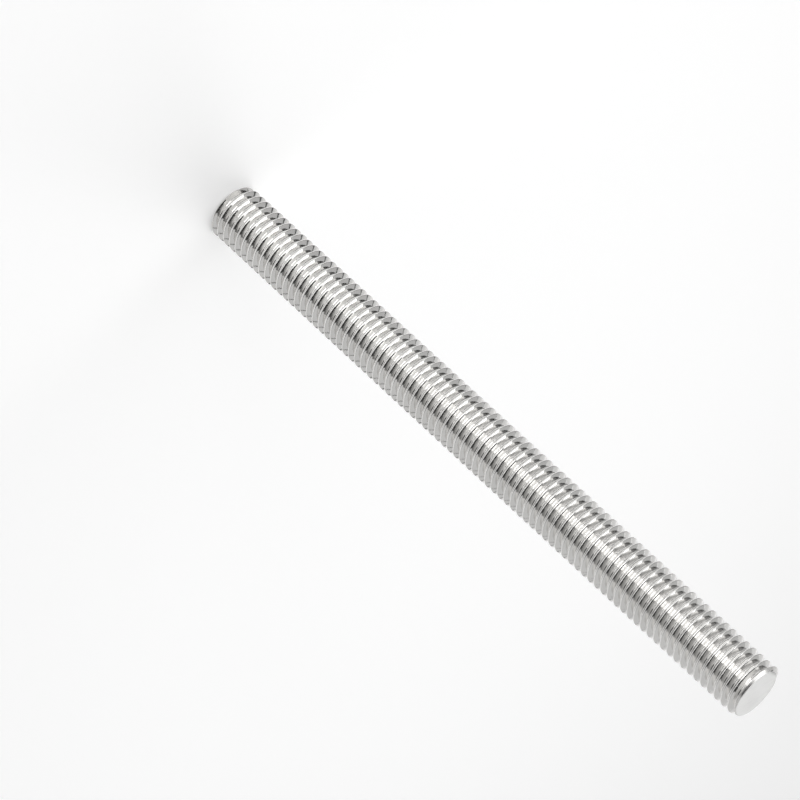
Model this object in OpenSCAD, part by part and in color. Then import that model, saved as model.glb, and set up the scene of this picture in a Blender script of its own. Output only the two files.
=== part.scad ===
// Fully threaded steel rod, one solid.
//
// The rod stands on its bottom end face: the axis is Z, the bottom face lies in
// z = 0 and the top face in z = rod_length. A right-hand 60 degree thread runs
// from end to end and fades out through a cone turned on each end.
//
// The skin is a set of columns. A column is the rod's outline at one angle
// about the axis, from the bottom face to the top face, and it is exact there:
// thread outline, end cones and the points where the two cross. Each column
// holds the same thread, lifted by its share of one pitch, and neighbouring
// columns are zipped together thread line by thread line.

/* [Thread] */
// Diameter over the crests
major_d = 10; // [6:0.5:16]
// Distance from crest to crest along the rod
pitch = 1.5; // [1:0.25:2]
// Angle between the two flanks of the groove
flank_angle = 60; // [55:1:60]
// Width of the flat crest, as a share of the pitch
crest_share = 0.125; // [0.08:0.005:0.2]
// Depth of the groove, as a share of the pitch
depth_share = 0.61; // [0.4:0.01:0.61]
// Angle about the axis at which the thread enters at the bottom face
thread_start = 0; // [0:5:355]

/* [Rod] */
// Length from end face to end face
rod_length = 125; // [60:5:200]
// How far the cone at each end goes in from the crests
cone_depth = 0.5; // [0.2:0.05:1]
// Angle between that cone and the end face
cone_angle = 45; // [30:5:60]

/* [Hidden] */

// Most triangles that the skin may have
triangle_limit = 12000;
// Points closer together than this along a column are one point
join = 0.03;

crest_r = major_d / 2;
root_r = crest_r - depth_share * pitch;
flank_w = depth_share * pitch * tan(flank_angle / 2);
crest_w = crest_share * pitch;
root_w = pitch - crest_w - 2 * flank_w;
turns = rod_length / pitch;
cone_length = cone_depth * tan(cone_angle);

// One turn of the thread outline as [height, radius]: crest, flank, root, flank
OUTLINE = [
    [0, crest_r],
    [crest_w, crest_r],
    [crest_w + flank_w, root_r],
    [crest_w + flank_w + root_w, root_r],
];

// Points that a column may have besides its thread outline, at its two ends
end_points = 10;
// Columns about the axis, a multiple of four so that the rod is as wide along
// X as along Y: each point of a column costs two triangles
column_cost = 2 * (len(OUTLINE) * turns + end_points);
columns = 4 * floor(triangle_limit / column_cost / 4);

// How far column c lifts the thread, and where its outline meets z = 0
function lift(c) = pitch * (c / columns - thread_start / 360);

// Radius of the endless thread at height h above the start of a crest
function outline_r(h) =
    let (u = h - pitch * floor(h / pitch))
    lookup(u, concat(OUTLINE, [[pitch, crest_r]]));

// Radius of the plain blank with its two end cones
function blank_r(z) =
    crest_r - cone_depth * max(0, 1 - min(z, rod_length - z) / cone_length);

// How far the thread stands out of the blank at height z of column c
function excess(c, z) = outline_r(z - lift(c)) - blank_r(z);

// Heights at which the outline of column c may turn, in order
function turning_heights(c) =
    let (
        first = floor(-lift(c) / pitch) - 1,
        last = ceil((rod_length - lift(c)) / pitch) + 1,
        thread = [
            for (n = [first:last])
                for (p = OUTLINE)
                    n * pitch + p[0] + lift(c)
        ],
        low = [for (z = thread) if (z > join && z < cone_length - join) z],
        middle = [
            for (z = thread)
                if (z > cone_length + join && z < rod_length - cone_length - join) z
        ],
        high = [
            for (z = thread)
                if (z > rod_length - cone_length + join && z < rod_length - join) z
        ]
    )
    concat([0], low, [cone_length], middle, [rod_length - cone_length], high, [rod_length]);

// The same heights, with the points where the thread comes out of a cone
function column_heights(c) =
    let (
        z = turning_heights(c),
        e = [for (h = z) excess(c, h)]
    )
    [
        for (i = [0:len(z) - 1])
            for (
                h = i < len(z) - 1 && e[i] * e[i + 1] < 0
                    ? [z[i], z[i] + (z[i + 1] - z[i]) * e[i] / (e[i] - e[i + 1])]
                    : [z[i]]
            )
                if (h == z[i] || (h > z[i] + join && h < z[i + 1] - join)) h
    ];

function column_point(c, z) =
    let (
        r = min(outline_r(z - lift(c)), blank_r(z)),
        a = 360 * c / columns
    )
    [r * cos(a), r * sin(a), z];

// Running totals: where each column's points begin in the list of all points
function starts(lists) =
    [for (i = 0, at = 0; i < len(lists); at = at + len(lists[i]), i = i + 1) at];

// Whether the zip moves up the left column next: its next point is the lower
// one on the thread, or the right column has no more points
function left_next(a, b, i, k) =
    k == len(b) - 1 || (i < len(a) - 1 && a[i + 1] <= b[k + 1]);

// Triangles between two columns. a and b are heights measured along the
// thread, so that equal heights lie on one thread line; a_at and b_at are the
// numbers of the columns' first points.
function zip_columns(a, b, a_at, b_at) =
    [
        for (
            i = 0, k = 0, left = left_next(a, b, 0, 0);
            i + k < len(a) + len(b) - 2;
            i = left ? i + 1 : i,
            k = left ? k : k + 1,
            left = left_next(a, b, i, k)
        )
            left
                ? [a_at + i, a_at + i + 1, b_at + k]
                : [a_at + i, b_at + k + 1, b_at + k]
    ];

module threaded_rod() {
    heights = [for (c = [0:columns - 1]) column_heights(c)];
    at = starts(heights);
    points = [
        for (c = [0:columns - 1])
            for (z = heights[c])
                column_point(c, z)
    ];
    skin = [
        for (c = [0:columns - 1])
            let (
                d = (c + 1) % columns,
                a = [for (z = heights[c]) z - lift(c)],
                b = [for (z = heights[d]) z - lift(c + 1)]
            )
            each zip_columns(a, b, at[c], at[d])
    ];
    bottom = [for (c = [0:columns - 1]) at[c]];
    top = [for (c = [columns - 1:-1:0]) at[c] + len(heights[c]) - 1];
    color("silver")
        polyhedron(points = points, faces = concat(skin, [bottom, top]), convexity = 10);
}

threaded_rod();
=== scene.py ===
"""A threaded steel rod, standing on one end: rolled thread, chamfered and ground ends."""
import math

import bpy
from mathutils import Matrix, Vector

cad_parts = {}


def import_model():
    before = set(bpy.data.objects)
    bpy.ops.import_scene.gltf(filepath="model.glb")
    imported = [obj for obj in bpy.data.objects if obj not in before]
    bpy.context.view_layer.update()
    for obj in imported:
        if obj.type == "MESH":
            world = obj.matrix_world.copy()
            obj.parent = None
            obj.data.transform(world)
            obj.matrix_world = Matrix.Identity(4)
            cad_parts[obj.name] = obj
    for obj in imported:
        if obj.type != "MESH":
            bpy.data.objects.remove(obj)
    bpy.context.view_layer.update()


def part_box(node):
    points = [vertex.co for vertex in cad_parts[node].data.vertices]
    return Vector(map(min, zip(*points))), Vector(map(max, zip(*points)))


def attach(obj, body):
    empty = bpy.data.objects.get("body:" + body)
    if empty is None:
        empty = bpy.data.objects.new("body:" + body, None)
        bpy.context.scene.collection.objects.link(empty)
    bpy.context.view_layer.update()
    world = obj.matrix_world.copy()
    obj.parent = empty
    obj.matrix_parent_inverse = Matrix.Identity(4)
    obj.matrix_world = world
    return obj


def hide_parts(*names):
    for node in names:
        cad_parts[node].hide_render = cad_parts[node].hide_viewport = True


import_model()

# ---------------------------------------------------------------- sizes, in metres
MM = 0.001
low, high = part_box("threaded_rod")
LENGTH = high.z - low.z
CREST_R = (high.x - low.x) / 2

# an M10 thread: 60 degree flanks, narrow crests, rounded roots
PITCH = 1.5 * MM
DEPTH = 0.61 * PITCH
CREST_W = 0.125 * PITCH
FLANK_W = DEPTH * math.tan(math.radians(30))
ROOT_W = PITCH - CREST_W - 2 * FLANK_W
CREST_ROUND = 0.06 * MM
ROOT_ROUND = 0.45 * ROOT_W
STEPS_A_TURN = 64
# turns made past each end, and cut off again
SPARE_TURNS = 2

# the chamfer at each end, 45 degrees
CONE_DEPTH = 0.5 * MM
BLANK_SIDES = 4 * STEPS_A_TURN
# how far the blank stands clear of the crests
SPARE_R = 0.02 * MM
WELD = 0.001 * MM
ON_PLANE = 0.0001 * MM
ON_CONE = 0.01 * MM
# a face whose normal rises more than this is an end face
LEVEL = 0.99
# edges sharper than this stay crisp
CRISP = math.radians(40)

# the camera looks down along the rod from its top end, and is rolled on its side
CAMERA_TURN = math.radians(60)
CAMERA_OUT = 596.2 * MM
CAMERA_UP = 330.8 * MM
CAMERA_AIM_ASIDE = 4.26 * MM
CAMERA_AIM_UP = 46.56 * MM
CAMERA_ROLL = math.radians(132.85)
CAMERA_LENS = 183.8
CAMERA_SENSOR = 36
CAMERA_SEES_FROM = 10 * MM
CAMERA_SEES_TO = 20

WHITE_FLOOR = "#E7E7E7"
FLOOR_SIZE = 6
FLOOR_GLOW = 0.25
# the white wall ends, and the dim room begins, at these heights of the world's unit sphere
WALL_TOP = math.sin(math.radians(3))
ROOM_DARK = math.sin(math.radians(8))
WALL_LEVEL = 0.25
ROOM_LEVEL = 0.05
# the lamps face the rod's middle, most of them from this far
AIM = Vector((0, 0, LENGTH / 2))
LAMPS_OUT = 0.45


# ---------------------------------------------------------------- modelling helpers
def deselect_all():
    if bpy.context.mode != "OBJECT":
        bpy.ops.object.mode_set(mode="OBJECT")
    bpy.ops.object.select_all(action="DESELECT")


def make_active(obj):
    deselect_all()
    obj.select_set(True)
    bpy.context.view_layer.objects.active = obj


def begin_edit(obj):
    make_active(obj)
    bpy.ops.object.mode_set(mode="EDIT")
    bpy.ops.mesh.select_mode(type="VERT")


def end_edit():
    bpy.ops.object.mode_set(mode="OBJECT")


def apply_place(obj):
    make_active(obj)
    bpy.ops.object.transform_apply(location=True, rotation=True, scale=True)


def apply_modifier(obj, kind, **settings):
    make_active(obj)
    modifier = obj.modifiers.new(kind.lower(), kind)
    for name, value in settings.items():
        setattr(modifier, name, value)
    bpy.ops.object.modifier_apply(modifier=modifier.name)


def select_vertices(obj, wanted):
    """In edit mode: selects just the vertices for whose place wanted says yes."""
    bpy.ops.object.mode_set(mode="OBJECT")
    for part in (obj.data.edges, obj.data.polygons):
        part.foreach_set("select", [False] * len(part))
    for vertex in obj.data.vertices:
        vertex.select = wanted(vertex.co)
    bpy.ops.object.mode_set(mode="EDIT")


def cut_level(z, side=1, **settings):
    """In edit mode: cuts the whole mesh at height z."""
    bpy.ops.mesh.select_all(action="SELECT")
    bpy.ops.mesh.bisect(
        plane_co=(0, 0, z), plane_no=(0, 0, side), threshold=ON_PLANE, **settings
    )


# ---------------------------------------------------------------- the rod
def thread_outline():
    """One pitch of the thread's outline at angle 0, from mid crest to mid crest."""
    deselect_all()
    bpy.ops.mesh.primitive_plane_add(size=MM)
    outline = bpy.context.object
    outline.name = "rolled_rod"
    begin_edit(outline)
    bpy.ops.mesh.select_all(action="SELECT")
    bpy.ops.mesh.merge(type="CENTER")
    start_z = CREST_W / 2 - SPARE_TURNS * PITCH
    bpy.ops.transform.translate(value=(CREST_R, 0, start_z))
    steps = [
        (0, CREST_W / 2),
        (-DEPTH, FLANK_W),
        (0, ROOT_W),
        (DEPTH, FLANK_W),
        (0, CREST_W / 2),
    ]
    for outward, up in steps:
        bpy.ops.mesh.extrude_region_move(TRANSFORM_OT_translate={"value": (outward, 0, up)})

    mid_depth = CREST_R - DEPTH / 2
    select_vertices(outline, lambda place: place.x < mid_depth)
    bpy.ops.mesh.bevel(offset=ROOT_ROUND, segments=3, affect="VERTICES")
    first, last = start_z + CREST_W / 4, start_z + PITCH - CREST_W / 4
    select_vertices(outline, lambda place: place.x > mid_depth and first < place.z < last)
    bpy.ops.mesh.bevel(offset=CREST_ROUND, segments=2, affect="VERTICES")
    end_edit()
    return outline


def thread_skin():
    """The thread as one closed skin, a little longer than the rod at each end."""
    rod = thread_outline()
    apply_modifier(
        rod,
        "SCREW",
        angle=math.tau,
        screw_offset=PITCH,
        iterations=math.ceil(LENGTH / PITCH) + 2 * SPARE_TURNS,
        steps=STEPS_A_TURN,
        render_steps=STEPS_A_TURN,
        use_smooth_shade=False,
    )
    begin_edit(rod)
    bpy.ops.mesh.select_all(action="SELECT")
    bpy.ops.mesh.remove_doubles(threshold=WELD)
    cut_level(-PITCH / 2, use_fill=True, clear_inner=True)
    cut_level(LENGTH + PITCH / 2, side=-1, use_fill=True, clear_inner=True)
    bpy.ops.mesh.select_all(action="SELECT")
    bpy.ops.mesh.normals_make_consistent(inside=False)
    end_edit()
    return rod


def chamfered_blank():
    """The bar that the thread is cut back to: plain, with a cone at each end."""
    deselect_all()
    bpy.ops.mesh.primitive_cylinder_add(
        vertices=BLANK_SIDES,
        radius=CREST_R - CONE_DEPTH,
        depth=LENGTH,
        location=(0, 0, LENGTH / 2),
    )
    blank = bpy.context.object
    apply_place(blank)
    begin_edit(blank)
    cone = CONE_DEPTH + SPARE_R
    cut_level(cone)
    cut_level(LENGTH - cone)
    select_vertices(blank, lambda place: cone / 2 < place.z < LENGTH - cone / 2)
    wider = (CREST_R + SPARE_R) / (CREST_R - CONE_DEPTH)
    bpy.ops.transform.resize(value=(wider, wider, 1), center_override=(0, 0, 0))
    bpy.ops.mesh.select_all(action="SELECT")
    bpy.ops.mesh.normals_make_consistent(inside=False)
    end_edit()
    return blank


def rolled_rod():
    """The finished rod: the thread's skin, cut back to the chamfered blank."""
    rod = thread_skin()
    blank = chamfered_blank()
    apply_modifier(rod, "BOOLEAN", object=blank, operation="INTERSECT", solver="MANIFOLD")
    bpy.data.objects.remove(blank)
    make_active(rod)
    bpy.ops.object.shade_smooth_by_angle(angle=CRISP)
    return rod


# ---------------------------------------------------------------- finishes
def to_linear(code):
    """An sRGB hex colour as linear RGBA."""
    parts = [int(code[i : i + 2], 16) / 255 for i in (1, 3, 5)]
    return [c / 12.92 if c <= 0.04045 else ((c + 0.055) / 1.055) ** 2.4 for c in parts] + [1]


def add_node(tree, kind, inputs=None, **settings):
    """Adds a node. Each input, by name or number, takes a value or another node's output."""
    node = tree.nodes.new(kind)
    for name, value in settings.items():
        setattr(node, name, value)
    for socket, value in (inputs or {}).items():
        if isinstance(value, bpy.types.NodeSocket):
            tree.links.new(value, node.inputs[socket])
        else:
            node.inputs[socket].default_value = value
    return node


def bare_metal(name):
    """An empty metal finish: the material, its tree, its shader, and the place on the object."""
    material = bpy.data.materials.new(name)
    material.use_nodes = True
    tree = material.node_tree
    shader = tree.nodes["Principled BSDF"]
    shader.inputs["Metallic"].default_value = 1
    place = add_node(tree, "ShaderNodeTexCoord").outputs["Object"]
    return material, tree, shader, place


def marks(tree, place, size, turn=0, detail=2):
    """Noise whose marks have this real size along x, y and z: the tracks a tool leaves."""
    stretched = add_node(
        tree,
        "ShaderNodeMapping",
        {"Vector": place, "Rotation": (0, 0, turn), "Scale": size},
        vector_type="TEXTURE",
    )
    noise = add_node(
        tree, "ShaderNodeTexNoise", {"Vector": stretched.outputs[0], "Scale": 1, "Detail": detail}
    )
    return noise.outputs["Fac"]


def finish_metal(tree, shader, colours, colour_by, smooth, rough, rough_by, relief, relief_by):
    """Colour, roughness and relief of a metal, each led by its own marks."""
    shade = add_node(
        tree,
        "ShaderNodeMix",
        {0: colour_by, 6: to_linear(colours[0]), 7: to_linear(colours[1])},
        data_type="RGBA",
    )
    tree.links.new(shade.outputs[2], shader.inputs["Base Color"])
    # the noise seldom leaves 0.3 to 0.7, so that range is spread from smooth to rough
    gloss = add_node(
        tree,
        "ShaderNodeMapRange",
        {"Value": rough_by, "From Min": 0.3, "From Max": 0.7, "To Min": smooth, "To Max": rough},
    )
    tree.links.new(gloss.outputs[0], shader.inputs["Roughness"])
    bump = add_node(tree, "ShaderNodeBump", {"Height": relief_by, "Distance": relief})
    tree.links.new(bump.outputs[0], shader.inputs["Normal"])


def rolled_stainless():
    """Rolled between hard dies: burnished bright, with faint tracks that run round the rod."""
    material, tree, shader, place = bare_metal("stainless steel, rolled thread")
    # the tracks are really some 0.02 mm wide: drawn coarser, to show
    tracks = marks(tree, place, (3 * MM, 3 * MM, 0.2 * MM), detail=3)
    patches = marks(tree, place, (6 * MM, 6 * MM, 9 * MM))
    finish_metal(
        tree, shader,
        colours=("#EEEDEB", "#DBDAD8"), colour_by=patches,
        smooth=0.08, rough=0.13, rough_by=tracks,
        relief=0.005 * MM, relief_by=tracks,
    )
    return material


def turned_stainless():
    """The chamfer, turned on a lathe: fine rings, a little duller than the thread."""
    material, tree, shader, place = bare_metal("stainless steel, turned chamfer")
    # turned rings are really 0.05 mm apart: drawn coarser, to show
    rings = marks(tree, place, (8 * MM, 8 * MM, 0.1 * MM))
    finish_metal(
        tree, shader,
        colours=("#E6E5E3", "#D8D7D5"), colour_by=rings,
        smooth=0.22, rough=0.34, rough_by=rings,
        relief=0.005 * MM, relief_by=rings,
    )
    return material


def ground_stainless():
    """The sawn end, ground flat on a belt: matt and pale, with fine straight scratches."""
    material, tree, shader, place = bare_metal("stainless steel, ground end")
    # a 120 grit belt leaves scratches 0.05 mm apart: drawn coarser, to show
    across, along = 0.16 * MM, 5 * MM
    scratches = marks(tree, place, (across, along, along), turn=math.radians(25), detail=3)
    clouds = marks(tree, place, (3 * MM, 3 * MM, 3 * MM))
    finish_metal(
        tree, shader,
        colours=("#CBCBCA", "#BABAB9"), colour_by=clouds,
        smooth=0.38, rough=0.58, rough_by=scratches,
        relief=0.014 * MM, relief_by=scratches,
    )
    return material


def dress_rod(rod):
    """Gives the thread, the chamfers and the end faces their own finishes."""
    rod.data.materials.clear()
    for finish in (rolled_stainless(), turned_stainless(), ground_stainless()):
        rod.data.materials.append(finish)
    for face in rod.data.polygons:
        from_end = min(face.center.z, LENGTH - face.center.z)
        out = math.hypot(face.center.x, face.center.y)
        cone_r = CREST_R - CONE_DEPTH + from_end
        if from_end < WELD and abs(face.normal.z) > LEVEL:
            face.material_index = 2
        elif from_end < CONE_DEPTH and abs(out - cone_r) < ON_CONE:
            face.material_index = 1
        else:
            face.material_index = 0


# ---------------------------------------------------------------- stage
def seen(tree):
    """1 for what the camera, the metal's reflections and glass show, 0 for what lights."""
    path = add_node(tree, "ShaderNodeLightPath")
    either = add_node(
        tree,
        "ShaderNodeMath",
        {0: path.outputs["Is Camera Ray"], 1: path.outputs["Is Glossy Ray"]},
        operation="MAXIMUM",
    )
    any_of_them = add_node(
        tree,
        "ShaderNodeMath",
        {0: either.outputs[0], 1: path.outputs["Is Transmission Ray"]},
        operation="MAXIMUM",
    )
    return any_of_them.outputs[0]


def floor():
    """A plain white floor. Its faint glow makes it white to the eye and lights nothing."""
    deselect_all()
    bpy.ops.mesh.primitive_plane_add(size=FLOOR_SIZE)
    ground = bpy.context.object
    ground.name = "floor"
    material = bpy.data.materials.new("white floor")
    material.use_nodes = True
    tree = material.node_tree
    tree.nodes.clear()
    level = add_node(tree, "ShaderNodeMath", {0: seen(tree), 1: FLOOR_GLOW}, operation="MULTIPLY")
    glow = add_node(tree, "ShaderNodeEmission", {"Strength": level.outputs[0]})
    matt = add_node(tree, "ShaderNodeBsdfDiffuse", {"Color": to_linear(WHITE_FLOOR)})
    both = add_node(tree, "ShaderNodeAddShader", {0: glow.outputs[0], 1: matt.outputs[0]})
    add_node(tree, "ShaderNodeOutputMaterial", {"Surface": both.outputs[0]})
    ground.data.materials.append(material)


def world():
    """A low pale wall all round, at the floor's horizon, under a dim room."""
    studio = bpy.data.worlds.new("studio")
    bpy.context.scene.world = studio
    studio.use_nodes = True
    tree = studio.node_tree
    place = add_node(tree, "ShaderNodeTexCoord").outputs["Generated"]
    height = add_node(tree, "ShaderNodeSeparateXYZ", {0: place}).outputs["Z"]
    level = add_node(
        tree,
        "ShaderNodeMapRange",
        {
            "Value": height,
            "From Min": WALL_TOP,
            "From Max": ROOM_DARK,
            "To Min": WALL_LEVEL,
            "To Max": ROOM_LEVEL,
        },
    )
    background = tree.nodes["Background"]
    background.inputs["Color"].default_value = (1, 1, 1, 1)
    tree.links.new(level.outputs[0], background.inputs["Strength"])


def round_the_rod(turn, up):
    """A direction: turned from the camera's side and raised, in degrees."""
    turn = CAMERA_TURN + math.radians(turn)
    up = math.radians(up)
    return Vector((math.cos(up) * math.cos(turn), math.cos(up) * math.sin(turn), math.sin(up)))


def softbox(name, turn, up, width, height, brightness, away=LAMPS_OUT):
    """A soft lamp that faces the rod's middle. Brightness 1 is white in a mirror."""
    lamp = bpy.data.lights.new(name, "AREA")
    lamp.shape = "RECTANGLE"
    lamp.size = width
    lamp.size_y = height
    lamp.energy = brightness * math.pi * width * height
    box = bpy.data.objects.new(name, lamp)
    bpy.context.scene.collection.objects.link(box)
    out = round_the_rod(turn, up)
    box.location = AIM + out * away
    box.rotation_euler = out.to_track_quat("Z", "Y").to_euler()
    box.visible_camera = False


def camera():
    """A long lens that looks at a point near the rod's middle, then rolls about its view."""
    data = bpy.data.cameras.new("camera")
    cam = bpy.data.objects.new("camera", data)
    bpy.context.scene.collection.objects.link(cam)
    data.lens = CAMERA_LENS
    data.sensor_width = CAMERA_SENSOR
    data.clip_start = CAMERA_SEES_FROM
    data.clip_end = CAMERA_SEES_TO
    out = Vector((math.cos(CAMERA_TURN), math.sin(CAMERA_TURN), 0))
    aside = Vector((-out.y, out.x, 0))
    place = out * CAMERA_OUT + Vector((0, 0, CAMERA_UP))
    aim = aside * CAMERA_AIM_ASIDE + Vector((0, 0, CAMERA_AIM_UP))
    look = (aim - place).to_track_quat("-Z", "Y").to_matrix().to_4x4()
    cam.matrix_world = Matrix.Translation(place) @ look @ Matrix.Rotation(CAMERA_ROLL, 4, "Z")
    bpy.context.scene.camera = cam


# ---------------------------------------------------------------- the rod and its studio
rod = rolled_rod()
dress_rod(rod)
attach(rod, "root")
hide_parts("threaded_rod")

floor()
world()
# degrees round from the camera and up, metres wide and high, brightness
softbox("key, low in front", -12, 8, 0.26, 0.23, 1.8)
softbox("long strip in front", -7, 13, 0.74, 0.14, 1.6)
softbox("low on the right", -71, 4, 0.68, 0.20, 1.0, away=0.9)
softbox("high on the right", -55, 55, 0.55, 0.24, 1.7)
softbox("large, right", -94, 40, 0.86, 0.32, 0.48)
softbox("left wall", 106, 13, 1.76, 0.50, 0.6, away=0.9)
softbox("back wall", 185, 13, 0.72, 0.38, 0.68, away=0.6)
softbox("high on the left", 134, 50, 0.72, 0.40, 0.58)
softbox("overhead", 178, 68, 0.17, 0.38, 4.4)
camera()
bpy.context.scene.view_settings.view_transform = "Standard"
